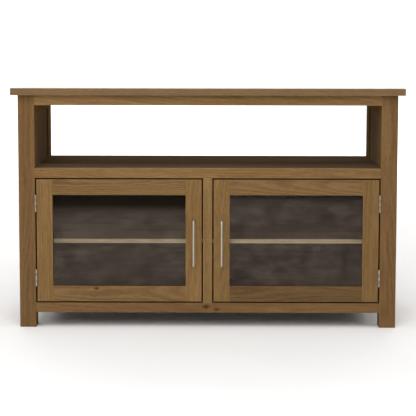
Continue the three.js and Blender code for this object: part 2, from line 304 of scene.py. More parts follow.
def carried(
    outline: Outline, axis: Axis, ends: Span, easing: float, mitre: Array | None = None
) -> Shell:
    """An outline carried straight along an axis, with eased ends.

    Towards each end the rings turn through a quarter circle: a ring at an angle is inset by the easing
    times one minus the cosine, and stands off the end by the easing times one minus the sine.
    The outline's own axes are the two that follow the carrying axis in the order X, Y, Z, X.

    Args:
        outline: The line that is carried.
        axis: The way it is carried.
        ends: Where the piece starts and ends on that axis.
        easing: Radius of the edge round each end.
        mitre: How far each point of the outline draws back from both ends, for sticks cut at 45 degrees.
    Returns:
        The closed shell.
    """
    low, high = sorted(ends)
    turn = np.linspace(0, QUARTER_TURN, 4)
    angle = np.concatenate([-turn[::-1], turn])
    first_half = np.arange(len(angle)) < len(turn)
    station = np.where(first_half, low + easing, high - easing) + easing * np.sin(angle)
    inset = easing * (1 - np.cos(angle))
    back = np.zeros(len(outline.points)) if mitre is None else mitre
    direction = np.where(first_half, 1.0, -1.0)
    points = np.empty((len(angle), len(outline.points), 3))
    normals = np.empty_like(points)
    points[..., axis.value] = station[:, None] + direction[:, None] * back[None, :]
    normals[..., axis.value] = np.sin(angle)[:, None]
    for own, place in enumerate(axis.others):
        points[..., place] = outline.points[:, own] - inset[:, None] * outline.normals[:, own]
        normals[..., place] = np.cos(angle)[:, None] * outline.normals[:, own]
    flat = np.abs(angle) > QUARTER_TURN - NEAR_FLAT
    turning = (np.abs(angle) > NEAR_FLAT) & ~flat
    wear = np.maximum(turning[:, None].astype(float), outline.rounded[None, :])
    return tube(points, normals, np.where(flat[:, None], 0.0, wear))


def board(space: Space, axis: Axis, radius: float = 1.2 * MM) -> Shell:
    """A board with all its edges eased.

    Args:
        space: The space it fills.
        axis: The way it is carried.
        radius: Radius of its eased edges.
    Returns:
        The closed shell.
    """
    u, v = (space.span(Axis(place)) for place in axis.others)
    return carried(Outline.rectangle(u, v, radius), axis, space.span(axis), 0.8 * radius)


def turned(profile: Sequence[Span], middle: Sequence[float], axis: Axis, around: int = 20) -> Shell:
    """A profile turned round an axis.

    A point at an angle lies the profile's radius away from the axis, at the profile's height along it.

    Args:
        profile: Radius and height of each ring, from the bottom up.
        middle: The point that heights are measured from.
        axis: The way the axis runs.
        around: Points in each ring.
    Returns:
        The closed shell.
    """
    radius, height = np.array(profile, float).T
    angle = np.linspace(0, FULL_TURN, around, endpoint=False)
    slope = np.gradient(np.stack([radius, height]), axis=1)
    slope /= np.maximum(np.linalg.norm(slope, axis=0), 1e-9)
    points = np.empty((len(radius), around, 3))
    normals = np.empty_like(points)
    points[..., axis.value] = height[:, None]
    normals[..., axis.value] = -slope[0][:, None]
    for place, wave in zip(axis.others, (np.cos(angle), np.sin(angle))):
        points[..., place] = radius[:, None] * wave
        normals[..., place] = slope[1][:, None] * wave
    return tube(points + np.array(middle), normals)


def facing(profile: Sequence[Span], way: float) -> Sequence[Span]:
    """A profile as it is, or turned end for end when its way is negative."""
    return profile if way > 0 else [(radius, -height) for radius, height in reversed(profile)]


def bent_bar(path: Array, across: Array, radius: float, around: int = 20) -> Shell:
    """A round bar along a flat path.

    Round each point of the path runs a circle in the plane of the path's sideways direction and of the
    direction square to both that and the path.

    Args:
        path: The points of the centre line, all in one plane.
        across: The direction square to that plane.
        radius: Radius of the bar.
        around: Points in each ring.
    Returns:
        The closed shell.
    """
    along = np.gradient(path, axis=0)
    along /= np.linalg.norm(along, axis=1)[:, None]
    square = np.cross(along, across)
    angle = np.linspace(0, FULL_TURN, around, endpoint=False)[None, :, None]
    normals = np.cos(angle) * square[:, None] + np.sin(angle) * -np.asarray(across)[None, None]
    return tube(path[:, None] + radius * normals, normals)


def screw_head(middle: Sequence[float], axis: Axis, outward: int, radius: float = 2.6 * MM) -> Shell:
    """A countersunk screw head with a cross recess.

    Its height over the plate, at a distance from the centre and an angle, is a low dome less the recess.
    The recess is deepest along two lines at right angles, and fades where the distance from the nearer
    line passes half the slot's width.

    Args:
        middle: The centre of the head, on the plate's face.
        axis: The way the screw points.
        outward: The side of the plate that the head is on, 1 or -1.
        radius: Radius of the head.
    Returns:
        The closed shell.
    """
    around, rings = 32, 6
    angle = np.linspace(0, FULL_TURN, around, endpoint=False)
    share = np.linspace(1, 0.08, rings)
    distance = radius * share[:, None]
    off_line = distance * np.abs(np.sin(2 * angle))[None, :] / 2
    reach = np.clip((0.72 - share) / 0.12, 0, 1)[:, None]
    slot = np.clip(1 - off_line / (0.16 * radius), 0, 1) * reach
    height = 0.14 * radius * (1 - share[:, None] ** 2) + 0.02 * radius - 0.30 * radius * slot
    height = np.concatenate([np.full((1, around), -0.12 * radius), height])
    distance = np.concatenate([distance[:1], distance])
    u, v = axis.others
    points = np.empty((rings + 1, around, 3))
    points[..., axis.value] = outward * height
    points[..., u] = distance * np.cos(angle)
    points[..., v] = distance * np.sin(angle) * outward
    outwards = np.gradient(points, axis=0)
    onwards = np.roll(points, -1, axis=1) - np.roll(points, 1, axis=1)
    normals = np.cross(onwards, outwards)
    normals /= np.maximum(np.linalg.norm(normals, axis=-1), 1e-12)[..., None]
    return tube(points + np.array(middle), normals)


# ---- Shader graphs ----


class Graph:
    """A material's node tree, built by calls that hand back output sockets."""

    def __init__(self, name: str) -> None:
        """Makes an empty material with its output.

        Args:
            name: The material's name.
        """
        self.material = bpy.data.materials.new(name)
        self.material.use_nodes = True
        self.tree = self.material.node_tree
        self.tree.nodes.clear()
        self.output = self.tree.nodes.new("ShaderNodeOutputMaterial")

    def node(
        self,
        kind: str,
        inputs: Mapping[str | int, object] | None = None,
        settings: Mapping[str, object] | None = None,
    ) -> bpy.types.Node:
        """Adds a node.

        Args:
            kind: The node's type.
            inputs: A value or an output socket for each named input.
            settings: The node's own options.
        Returns:
            The new node.
        """
        made = self.tree.nodes.new(kind)
        for name, value in (settings or {}).items():
            setattr(made, name, value)
        for name, value in (inputs or {}).items():
            if isinstance(value, Socket):
                self.tree.links.new(value, made.inputs[name])
            else:
                made.inputs[name].default_value = value
        return made

    def math(self, operation: str, *values: object) -> Socket:
        """One number worked out from others."""
        return self.node("ShaderNodeMath", dict(enumerate(values)), {"operation": operation}).outputs[0]

    def weighted(self, start: object, *parts: tuple[object, float]) -> Socket:
        """A starting number plus each part times its weight."""
        total = start
        for value, weight in parts:
            total = self.math("MULTIPLY_ADD", value, weight, total)
        return total

    def vector(self, operation: str, *values: object) -> Socket:
        """One vector worked out from others."""
        made = self.node("ShaderNodeVectorMath", dict(enumerate(values)), {"operation": operation})
        return made.outputs["Value" if operation in ("LENGTH", "DISTANCE") else "Vector"]

    def part(self, vector: Socket, number: int) -> Socket:
        """One of a vector's three numbers."""
        return self.node("ShaderNodeSeparateXYZ", {0: vector}).outputs[number]

    def noise(
        self,
        place: Socket,
        cells: Sequence[float],
        detail: float = 2.0,
        rough: float = 0.5,
        output: str = "Fac",
    ) -> Socket:
        """A noise pattern.

        Args:
            place: The point that it is read at.
            cells: Number of its cells to a metre, on each axis.
            detail: How many finer layers it has.
            rough: Strength of the finer layers.
            output: Fac for a number, Color for three.
        Returns:
            The pattern.
        """
        stretched = self.vector("MULTIPLY", place, tuple(cells))
        inputs = {"Vector": stretched, "Scale": 1.0, "Detail": detail, "Roughness": rough}
        return self.node("ShaderNodeTexNoise", inputs).outputs[output]

    def ramp(self, value: Socket, stops: Sequence[tuple[float, Colour]]) -> Socket:
        """A colour for each value, eased between stops.

        Args:
            value: The number that it is read at.
            stops: Each stop's place and colour, in order.
        Returns:
            The colour.
        """
        made = self.node("ShaderNodeValToRGB", {0: value})
        elements = made.color_ramp.elements
        while len(elements) < len(stops):
            elements.new(0.5)
        for element, (position, colour) in zip(elements, stops):
            element.position = position
            element.color = (*colour, 1.0)
        return made.outputs[0]

    def fit(self, value: Socket, source: Span, target: Span = (0.0, 1.0)) -> Socket:
        """A number moved from one span to another, and held inside it."""
        inputs = dict(enumerate((value, *source, *target)))
        return self.node("ShaderNodeMapRange", inputs, {"clamp": True}).outputs[0]

    def blend(self, share: object, first: object, second: object) -> Socket:
        """A mix of two colours."""
        settings = {"data_type": "RGBA", "blend_type": "MIX"}
        return self.node("ShaderNodeMix", {0: share, 6: first, 7: second}, settings).outputs[2]

    def object_point(self) -> Socket:
        """The point of the surface in the cabinet's own frame."""
        return self.node("ShaderNodeTexCoord").outputs["Object"]

    def attribute(self, name: str) -> Socket:
        """A number kept in the mesh under a name."""
        return self.node("ShaderNodeAttribute", settings={"attribute_name": name}).outputs["Fac"]

    def bump(self, height: Socket, strength: float, distance: float) -> Socket:
        """A normal tilted by a height pattern."""
        inputs = {"Height": height, "Strength": strength, "Distance": distance}
        return self.node("ShaderNodeBump", inputs).outputs[0]

    def surface(self, inputs: Mapping[str, object]) -> Material:
        """Finishes the material with a principled shader."""
        return self.finish(self.node("ShaderNodeBsdfPrincipled", inputs))

    def finish(self, shader: bpy.types.Node) -> Material:
        """Joins a shader to the output and hands back the material."""
        self.tree.links.new(shader.outputs[0], self.output.inputs["Surface"])
        return self.material


@dataclass(frozen=True)
class Order:
    """What a finish is wanted for: the piece's name, its centre, and where chance is drawn from."""

    piece: str
    middle: Array
    luck: Luck


class Finish(Protocol):
    """Anything that can make a material for a piece."""

    def material(self, order: Order) -> Material:
        """The material for one piece."""


def scaled(colour: Colour, by: float, warmth: float = 0.0) -> Colour:
    """A colour made lighter or darker, and redder or yellower by a small share."""
    red, green, blue = (part * by for part in colour)
    return (red * (1 + warmth), green, blue * (1 - warmth))


@dataclass(frozen=True)
class Knot:
    """A small knot: its centre in the cabinet's frame and its radius."""

    middle: Point
    radius: float


@dataclass(frozen=True)
class Mark:
    """A mark in the wood: how strongly it shows, and its colour next to the wood's tone."""

    strength: float
    tint: float
    warmth: float = 0.0


PORE = Mark(0.55, 0.45)
FLECK = Mark(0.20, 1.40)
WORN_EDGE = Mark(1.0, 1.55)
KNOT_WOOD = Mark(0.96, 0.17, 0.45)


@dataclass(frozen=True)
class Oak:
    """Oiled oak.

    tone is its middle colour, grain the way it grew and width the way its staves lie side by side.
    stave is the width of one stave, and heart the distance from the wood to the middle of the tree.
    lean is the slope of its grain in degrees, arches the strength of its growth rings, lacquer the share of
    clear coat over it, and shade how much lighter or darker than its tone this piece is drawn, which on the
    pieces that set it is painted light and shade.
    """

    tone: Tone
    grain: Axis
    width: Axis
    stave: float = 0.09
    heart: float = 0.05
    contrast: float = 1.0
    stave_contrast: float = 0.16
    roughness: float = 0.50
    shine: float = 0.04
    lacquer: float = 0.0
    lean: float = 0.0
    arches: float = 0.14
    shade: float = 1.0
    knots: tuple[Knot, ...] = ()

    def material(self, order: Order) -> Material:
        """Builds the wood of one piece.

        The rings are circles about the tree's heart, bent by slow noise, so that a face near the heart
        shows arches and a face far from it shows lines. Each stave has its own place in the tree.

        Args:
            order: The piece that it is for.
        Returns:
            The material.
        """
        graph = Graph(f"{order.piece}_oak")
        point = graph.object_point()
        wood, chance = self._in_the_tree(graph, point, order)
        rings = self._rings(graph, wood)
        streaks = graph.noise(wood, (22, 300, 300), 3.0, 0.6)
        bands = graph.noise(wood, (1.3, 62, 62))
        cloud = graph.noise(wood, (2.6, 17, 17))
        pores = graph.fit(graph.noise(wood, (60, 1300, 1300), 2.0, 0.6), (0.54, 0.66))
        flecks = graph.fit(graph.noise(wood, (34, 260, 30), 1.0), (0.62, 0.72))
        figure = graph.weighted(
            0.53 - 0.73 * self.contrast,
            (streaks, 0.58 * self.contrast),
            (rings, self.arches * self.contrast),
            (bands, 0.34 * self.contrast),
            (cloud, 0.42 * self.contrast),
        )
        colour = self._colour(graph, figure, chance, order.luck)
        colour = self._marked(graph, colour, pores, PORE)
        colour = self._marked(graph, colour, flecks, FLECK)
        colour, dark = self._with_knots(graph, point, colour)
        handled = graph.fit(graph.noise(point, (25, 25, 25), 3.0), (0.35, 0.65), (0.25, 0.75))
        worn = graph.math("MULTIPLY", graph.attribute("wear"), handled)
        relief = graph.weighted(0.0, (streaks, 0.5), (pores, -0.8), (rings, 0.18), (dark, -0.4))
        rough = graph.weighted(self.roughness, (pores, 0.18), (cloud, 0.12), (worn, -0.10))
        return graph.surface(
            {
                "Base Color": self._marked(graph, colour, worn, WORN_EDGE),
                "Roughness": rough,
                "Specular IOR Level": self.shine,
                "Coat Weight": self.lacquer,
                "Coat Roughness": 0.17,
                "Normal": graph.bump(relief, 0.30, 0.5 * MM),
            }
        )

    def _marked(self, graph: Graph, colour: Socket, where: Socket, mark: Mark) -> Socket:
        """The colour with marks of one kind, where a pattern says."""
        tint = (*scaled(self.tone.value, mark.tint, mark.warmth), 1.0)
        return graph.blend(graph.math("MULTIPLY", where, mark.strength), colour, tint)

    def _in_the_tree(self, graph: Graph, point: Socket, order: Order) -> tuple[Socket, Socket]:
        """Turns a point of the cabinet into a point of the tree.

        Args:
            graph: The graph to add to.
            point: The point in the cabinet's frame.
            order: The piece, whose place in the tree is drawn by chance.
        Returns:
            The point with X along the grain, and three chance numbers for its stave.
        """
        luck = order.luck
        grain, width = self.grain.unit, self.width.unit
        turn = Matrix([grain, width, grain.cross(width)])
        slant = Matrix.Rotation(math.radians(self.lean + luck.uniform(-2.0, 2.0)), 3, "Z")
        turn = slant @ Matrix.Rotation(math.radians(luck.uniform(-1.6, 1.6)), 3, "Y") @ turn
        shift = Vector((luck.uniform(0, 9), luck.uniform(0.2, 0.8) * self.stave, 0))
        home = shift - turn @ Vector(order.middle)
        inputs = {"Vector": point, "Location": home, "Rotation": turn.to_euler()}
        place = graph.node("ShaderNodeMapping", inputs).outputs[0]
        number = graph.math("FLOOR", graph.math("DIVIDE", graph.part(place, 1), self.stave))
        seeded = graph.math("ADD", number, luck.uniform(0, 90))
        dice = graph.node("ShaderNodeTexWhiteNoise", {"W": seeded}, {"noise_dimensions": "1D"})
        chance = dice.outputs["Color"]
        offset = graph.math("MULTIPLY", number, -self.stave)
        back = graph.node("ShaderNodeCombineXYZ", {1: offset}).outputs[0]
        own = graph.vector("MULTIPLY_ADD", chance, (7.0, 0.05, 0.03), back)
        centred = graph.vector("ADD", own, (0.0, -0.025 - self.stave / 2, self.heart))
        return graph.vector("ADD", place, centred), chance

    def _rings(self, graph: Graph, wood: Socket) -> Socket:
        """The growth rings: circles about the grain's axis, bent by slow noise.

        Args:
            graph: The graph to add to.
            wood: The point of the tree.
        Returns:
            How light the rings are there.
        """
        slow = graph.noise(wood, (1.5, 6, 6), output="Color")
        bend = graph.vector("SUBTRACT", slow, (0.5, 0.5, 0.5))
        bent = graph.vector("MULTIPLY_ADD", bend, (0.0, 0.05, 0.05), wood)
        inputs = {"Vector": bent, "Scale": 62.0, "Distortion": 1.6, "Detail": 2.0, "Detail Scale": 0.6}
        settings = {"wave_type": "RINGS", "rings_direction": "X", "wave_profile": "SIN"}
        return graph.node("ShaderNodeTexWave", inputs, settings).outputs[1]

    def _colour(self, graph: Graph, figure: Socket, chance: Socket, luck: Luck) -> Socket:
        """The wood's colour from the strength of its figure, with each stave a little lighter or darker.

        Args:
            graph: The graph to add to.
            figure: How light the figure is, from 0 to 1.
            chance: The stave's chance numbers.
            luck: Draws the piece's own shade.
        Returns:
            The colour.
        """
        # The piece's set shade is painted light and shade; the small random change is the wood's own.
        shade = self.shade * luck.uniform(0.98, 1.02)
        tone = self.tone.value
        stops = [
            (0.24, scaled(tone, 0.60 * shade, 0.10)),
            (0.42, scaled(tone, 0.86 * shade, 0.03)),
            (0.55, scaled(tone, 1.02 * shade)),
            (0.78, scaled(tone, 1.30 * shade, -0.04)),
        ]
        extremes = (1 - self.stave_contrast, 1 + self.stave_contrast)
        by = graph.fit(graph.part(chance, 0), (0.0, 1.0), extremes)
        inputs = {0: graph.ramp(figure, stops), "Scale": by}
        return graph.node("ShaderNodeVectorMath", inputs, {"operation": "SCALE"}).outputs[0]

    def _with_knots(self, graph: Graph, point: Socket, colour: Socket) -> tuple[Socket, object]:
        """Darkens the wood at its knots.

        Args:
            graph: The graph to add to.
            point: The point in the cabinet's frame.
            colour: The wood's colour.
        Returns:
            The colour with the knots, and how strongly a knot is there.
        """
        squashed = Vector((1.0, 1.0, 1.0)) - 0.5 * self.grain.unit
        dark: object = 0.0
        for knot in self.knots:
            offset = graph.vector("SUBTRACT", point, knot.middle)
            away = graph.vector("LENGTH", graph.vector("MULTIPLY", offset, squashed))
            away = graph.weighted(away, (graph.noise(point, (160, 160, 160)), 0.7 * knot.radius))
            here = graph.fit(away, (0.6 * knot.radius, 1.55 * knot.radius), (1.0, 0.0))
            dark = graph.math("MAXIMUM", here, dark)
            colour = self._marked(graph, colour, here, KNOT_WOOD)
        return colour, dark


@dataclass(frozen=True)
class Steel:
    """Brushed steel with its brush marks along one axis."""

    tint: Colour = (0.44, 0.41, 0.37)
    roughness: float = 0.36
    brushed: Axis = Axis.UP

    def material(self, order: Order) -> Material:
        """Builds the metal: fine scratches along the brush, and a faint cloud of handling marks.

        Args:
            order: The piece that it is for.
        Returns:
            The material.
        """
        graph = Graph(f"{order.piece}_steel")
        point = graph.object_point()
        cells = [2600.0, 2600.0, 2600.0]
        cells[self.brushed.value] = 90.0
        marks = graph.noise(point, cells)
        cloud = graph.noise(point, (70, 70, 70), 3.0)
        stops = [(0.3, scaled(self.tint, 0.92, 0.02)), (0.7, scaled(self.tint, 1.06))]
        return graph.surface(
            {
                "Base Color": graph.ramp(cloud, stops),
                "Metallic": 1.0,
                "Roughness": graph.weighted(self.roughness - 0.12, (marks, 0.14), (cloud, 0.05)),
                "Normal": graph.bump(marks, 0.15, 0.05 * MM),
            }
        )


@dataclass(frozen=True)
class Plastic:
    """Moulded plastic with a fine grain."""

    colour: Colour = (0.060, 0.042, 0.030)
    roughness: float = 0.45

    def material(self, order: Order) -> Material:
        """Builds the plastic: fine moulded grain and a slow change of gloss.

        Args:
            order: The piece that it is for.
        Returns:
            The material.
        """
        graph = Graph(f"{order.piece}_plastic")
        point = graph.object_point()
        grain = graph.noise(point, (1500, 1500, 1500), 1.0)
        cloud = graph.noise(point, (90, 90, 90))
        stops = [(0.3, scaled(self.colour, 0.8)), (0.7, scaled(self.colour, 1.25))]
        return graph.surface(
            {
                "Base Color": graph.ramp(cloud, stops),
                "Roughness": graph.weighted(self.roughness - 0.1, (cloud, 0.2)),
                "Normal": graph.bump(grain, 0.25, 0.08 * MM),
            }
        )


@dataclass(frozen=True)
class Glass:
    """A clear pane: light passes straight through, and a share that grows with the slant is mirrored.

    clear is the height of the band at its top where the mirror is painted much darker, a painted shade, in
    place of the film on the rest.
    """

    tint: Colour = (0.98, 0.98, 0.965)
    film: Colour = (0.35, 0.275, 0.232)
    clear: float = 0.01
    index: float = 1.70

    def material(self, order: Order) -> Material:
        """Builds the glass, with a faint cloudy film that strengthens its mirror below the top band, where
        the mirror is painted dark as painted shade.

        Args:
            order: The pane that it is for, whose top is found in the frame by its name.
        Returns:
            The material.
        """
        graph = Graph(f"{order.piece}_glass")
        point = graph.object_point()
        edge = Space.of(order.piece).span(Axis.UP)[1] - self.clear
        marks = graph.noise(point, (9, 9, 26), 3.0)
        cloud = graph.noise(point, (19, 19, 27), 5.0, 0.72)
        height = graph.weighted(graph.part(point, Axis.UP.value), (cloud, 0.04))
        # Painted shade: towards the top of the pane the mirror's colour fades to a much darker one.
        shaded_top = graph.fit(height, (edge - 2 * MM, edge + 28 * MM))
        shades = ((0.38, 0.66), (0.50, 0.98), (0.64, 1.56))
        stops = [(place, scaled(self.film, by)) for place, by in shades]
        veil = graph.blend(shaded_top, graph.ramp(cloud, stops), (*scaled(self.film, 0.14), 1))
        rough = graph.fit(marks, (0.35, 0.7), (0.02, 0.09))
        through = graph.node("ShaderNodeBsdfTransparent", {"Color": (*self.tint, 1)}).outputs[0]
        mirror = graph.node("ShaderNodeBsdfGlossy", {"Color": veil, "Roughness": rough}).outputs[0]
        share = graph.node("ShaderNodeFresnel", {"IOR": self.index}).outputs[0]
        return graph.finish(graph.node("ShaderNodeMixShader", {0: share, 1: through, 2: mirror}))


@dataclass(frozen=True)
class StudioPaint:
    """Matt pale paint for the studio floor."""

    colour: Colour = (0.88, 0.875, 0.87)

    def material(self, order: Order) -> Material:
        """Builds the paint, with a very slight mottle.

        Args:
            order: The surface that it is for.
        Returns:
            The material.
        """
        graph = Graph(f"{order.piece}_paint")
        cloud = graph.noise(graph.object_point(), (3, 3, 3), 3.0)
        stops = [(0.3, scaled(self.colour, 0.99)), (0.7, scaled(self.colour, 1.01))]
        return graph.surface({"Base Color": graph.ramp(cloud, stops), "Roughness": 0.8})


# ---- Putting pieces into the scene ----


@dataclass
class Workbench:
    """Turns shells into pieces that ride on the frame, and reports each one."""

    luck: Luck = field(default_factory=lambda: np.random.default_rng(LUCK_SEED))
    made: int = 0

    def mesh(self, name: str, shell: Shell) -> bpy.types.Object:
        """Puts a shell into the scene.

        Args:
            name: The new object's name.
            shell: The closed surface.
        Returns:
            The object, at the origin.
        """
        data = bpy.data.meshes.new(name)
        data.from_pydata(shell.points.tolist(), [], shell.faces)
        data.polygons.foreach_set("use_smooth", np.ones(len(data.polygons), bool))
        wear = data.attributes.new("wear", "FLOAT", "POINT")
        wear.data.foreach_set("value", shell.wear.astype(np.float32))
        data.normals_split_custom_set_from_vertices(shell.normals.tolist())
        data.validate()
        made = bpy.data.objects.new(name, data)
        bpy.context.scene.collection.objects.link(made)
        return made

    def piece(
        self, name: str, shell: Shell, finish: Finish, slot: Slot, body: str = CARCASS
    ) -> bpy.types.Object:
        """Adds a finished piece, in place of the frame's own piece of that name where there is one.

        Args:
            name: The piece's name.
            shell: Its surface.
            finish: Its finish.
            slot: The material slot meant for the piece; not used.
            body: The body of the frame that it rides on.
        Returns:
            The piece.
        """
        made = self.mesh(name, shell)
        middle = (shell.points.min(axis=0) + shell.points.max(axis=0)) / 2
        made.data.materials.append(finish.material(Order(name, middle, self.luck)))
        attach(made, body)
        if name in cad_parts:
            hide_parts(name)
        self.made += 1
        log.info("%s: %d points, on %s", name, len(shell.points), body)
        return made

    def stick(
        self, name: str, space: Space, oak: Oak, slot: Slot, radius: float = 1.2 * MM
    ) -> bpy.types.Object:
        """Adds an eased board, carried along its grain."""
        return self.piece(name, board(space, oak.grain, radius), oak, slot)


@dataclass
class Assembly:
    """A part of the scene that makes its pieces at a bench."""

    bench: Workbench

    def build(self) -> None:
        """Adds everything that belongs to it."""
        raise NotImplementedError


@dataclass
class SidedAssembly(Assembly):
    """An assembly that each half of the cabinet has one of."""

    side: Side

    @property
    def name(self) -> str:
        """The side, as pieces are named after it."""
        return self.side.value

    @property
    def door(self) -> str:
        """The body of this side's door."""
        return f"{self.name}_door"


# ---- The fixed cabinet ----


@dataclass
class TopBoard(Assembly):
    """The top: glued from staves, with softly rounded edges."""

    radius: float = 2.2 * MM
    stave: float = 0.078

    def build(self) -> None:
        """Adds the board."""
        oak = Oak(Tone.TOP, Axis.ACROSS, Axis.DEEP, self.stave, heart=0.03, lacquer=1.0)
        self.bench.stick("top_board", Space.of("top_board"), oak, Slot.FRAME, self.radius)


@dataclass
class Frame(Assembly):
    """Posts, rails and the centre post."""

    post_radius: float = 1.8 * MM
    rail_radius: float = 1.2 * MM
    lamella: float = 0.030
    knots: tuple[Knot, ...] = (
        Knot((-0.0048, -0.1995, 0.0640), 7.0 * MM),
        Knot((0.0282, -0.1995, 0.0550), 5.4 * MM),
    )

    def build(self) -> None:
        """Adds the posts and then the rails between them."""
        for side in Side:
            for place in ("front", "rear"):
                self._post(f"{place}_post_{side.value}")
        for place in ("front", "rear"):
            # Painted light: the aprons are drawn lighter, against the shadow of the top's overhang on them.
            self._rail(f"{place}_apron", Tone.RAIL, shade=1.1)
            self._rail(f"{place}_mid_rail", Tone.RAIL)
            self._rail(f"{place}_bottom_rail", Tone.LOW_RAIL)
        self._centre_post()

    def _post(self, node: str) -> None:
        """Adds a post, glued from two lamellae.

        Args:
            node: The post.
        """
        oak = Oak(
            Tone.POST, Axis.UP, Axis.ACROSS, self.lamella, heart=0.07, stave_contrast=0.13, shine=0.0
        )
        self.bench.stick(node, Space.of(node), oak, Slot.FRAME, self.post_radius)

    def _rail(self, node: str, tone: Tone, shade: float = 1.0) -> None:
        """Adds a rail from post to post.

        Args:
            node: The rail.
            tone: Its colour.
            shade: How much lighter or darker than its tone it is.
        """
        between = clear(Axis.ACROSS, "front_post_left", "front_post_right")
        space = Space.of(node).cut(Axis.ACROSS, *between)
        oak = Oak(
            tone,
            Axis.ACROSS,
            Axis.UP,
            stave=0.12,
            heart=0.035,
            contrast=1.2,
            lean=5.0,
            shade=shade,
            knots=self.knots if node == "front_bottom_rail" else (),
        )
        self.bench.stick(node, space, oak, Slot.FRAME, self.rail_radius)

    def _centre_post(self) -> None:
        """Adds the post between the doors."""
        open_span = clear(Axis.UP, "front_bottom_rail", "front_mid_rail")
        space = Space.of("centre_post").cut(Axis.UP, *open_span)
        oak = Oak(Tone.CENTRE, Axis.UP, Axis.ACROSS, 0.08, heart=0.06)
        self.bench.stick("centre_post", space, oak, Slot.FRAME, self.rail_radius)


@dataclass
class CabinetEnd(SidedAssembly):
    """One end: two side rails and a panel between the posts."""

    tongue: float = 2.0 * MM
    panel_radius: float = 0.8 * MM

    def build(self) -> None:
        """Adds the side rails and the panel."""
        low, high = clear(Axis.DEEP, f"front_post_{self.name}", f"rear_post_{self.name}")
        oak = Oak(Tone.POST, Axis.DEEP, Axis.UP, 0.12, heart=0.05, shine=0.0)
        for place in ("top", "bottom"):
            node = f"side_{place}_rail_{self.name}"
            self.bench.stick(node, Space.of(node).cut(Axis.DEEP, low, high), oak, Slot.FRAME)
        node = f"side_panel_{self.name}"
        foot, head = clear(Axis.UP, f"side_bottom_rail_{self.name}", f"side_top_rail_{self.name}")
        space = Space.of(node).cut(Axis.DEEP, low - self.tongue, high + self.tongue)
        space = space.cut(Axis.UP, foot - self.tongue, head + self.tongue)
        oak = Oak(Tone.PANEL, Axis.UP, Axis.DEEP, 0.085, heart=0.03, shine=0.0)
        self.bench.stick(node, space, oak, Slot.BOARDS, self.panel_radius)


@dataclass
class Boards(Assembly):
    """The deck, the base board, the partition and the back."""

    radius: float = 0.8 * MM
    back_radius: float = 0.5 * MM
    screws_up: int = 4
    screw_radius: float = 3.2 * MM
    screw_inset: float = 12 * MM
    screw_margin: float = 25 * MM

    def build(self) -> None:
        """Adds the boards."""
        self._deck()
        base = Oak(Tone.INSIDE, Axis.ACROSS, Axis.DEEP, 0.08, heart=0.03)
        partition = Oak(Tone.INSIDE, Axis.UP, Axis.DEEP, 0.08, heart=0.03)
        back = Oak(Tone.BACK, Axis.ACROSS, Axis.UP, 0.30, heart=0.012, contrast=1.2)
        for node, oak, slot, radius in (
            ("base_board", base, Slot.BOARDS, self.radius),
            ("centre_partition", partition, Slot.BOARDS, self.radius),
            ("back_panel", back, Slot.BACK, self.back_radius),
        ):
            self.bench.stick(node, Space.of(node), oak, slot, radius)
        self._back_screws()

    def _deck(self) -> None:
        """Adds the floor of the open bay, whose ears reach between the posts to the side panels."""
        space = Space.of("deck_board")
        (x0, x1), (y0, y1) = space.span(Axis.ACROSS), space.span(Axis.DEEP)
        left, right = clear(Axis.ACROSS, "front_post_left", "front_post_right")
        front, back = clear(Axis.DEEP, "front_post_left", "rear_post_left")
        half = [(right, y0), (right, front), (x1, front), (x1, back), (right, back), (right, y1)]
        other = [(left, y1), (left, back), (x0, back), (x0, front), (left, front), (left, y0)]
        outline = Outline.cornered([*half, *other], self.radius)
        shell = carried(outline, Axis.UP, space.span(Axis.UP), 0.8 * self.radius)
        oak = Oak(Tone.BOARD, Axis.ACROSS, Axis.DEEP, 0.08, heart=0.03, shine=0.0)
        self.bench.piece("deck_board", shell, oak, Slot.BOARDS)

    def _back_screws(self) -> None:
        """Adds the screws that hold the back, in a row up each edge and up the middle."""
        back = Space.of("back_panel")
        left, right = back.span(Axis.ACROSS)
        low, high = clear(Axis.UP, "rear_bottom_rail", "rear_mid_rail")
        heights = np.linspace(low + self.screw_margin, high - self.screw_margin, self.screws_up)
        heads = [
            screw_head((x, back.high[1], z), Axis.DEEP, 1, self.screw_radius)
            for x in (left + self.screw_inset, 0.0, right - self.screw_inset)
            for z in heights
        ]
        self.bench.piece("back_screws", joined(heads), Steel(), Slot.HARDWARE)


@dataclass(frozen=True)
class Peg:
    """A shelf peg: a flange against its wall, and a pin with a rounded tip."""

    flange_radius: float = 4.6 * MM
    flange: float = 1.4 * MM
    pin: float = 3.0 * MM
    rim: float = 0.3 * MM

    def shell(self, middle: Array, wall: float, tip: float) -> Shell:
        """Turns the peg.

        Args:
            middle: A point on its axis.
            wall: Where it leaves its wall, on X.
            tip: Where its tip is, on X.
        Returns:
            The closed shell.
        """
        inner, length = self.flange_radius - self.rim, abs(tip - wall)
        profile = [
            (inner, 0.0),
            (self.flange_radius, self.rim),
            (self.flange_radius, self.flange - self.rim),
            (inner, self.flange),
            (self.pin + 0.05 * MM, self.flange),
            (self.pin, self.flange + 0.1 * MM),
            (self.pin, length - 3 * self.rim),
            (self.pin - self.rim, length - self.rim),
            (self.pin - 1.0 * MM, length),
        ]
        return turned(facing(profile, tip - wall), (wall, middle[1], middle[2]), Axis.ACROSS)


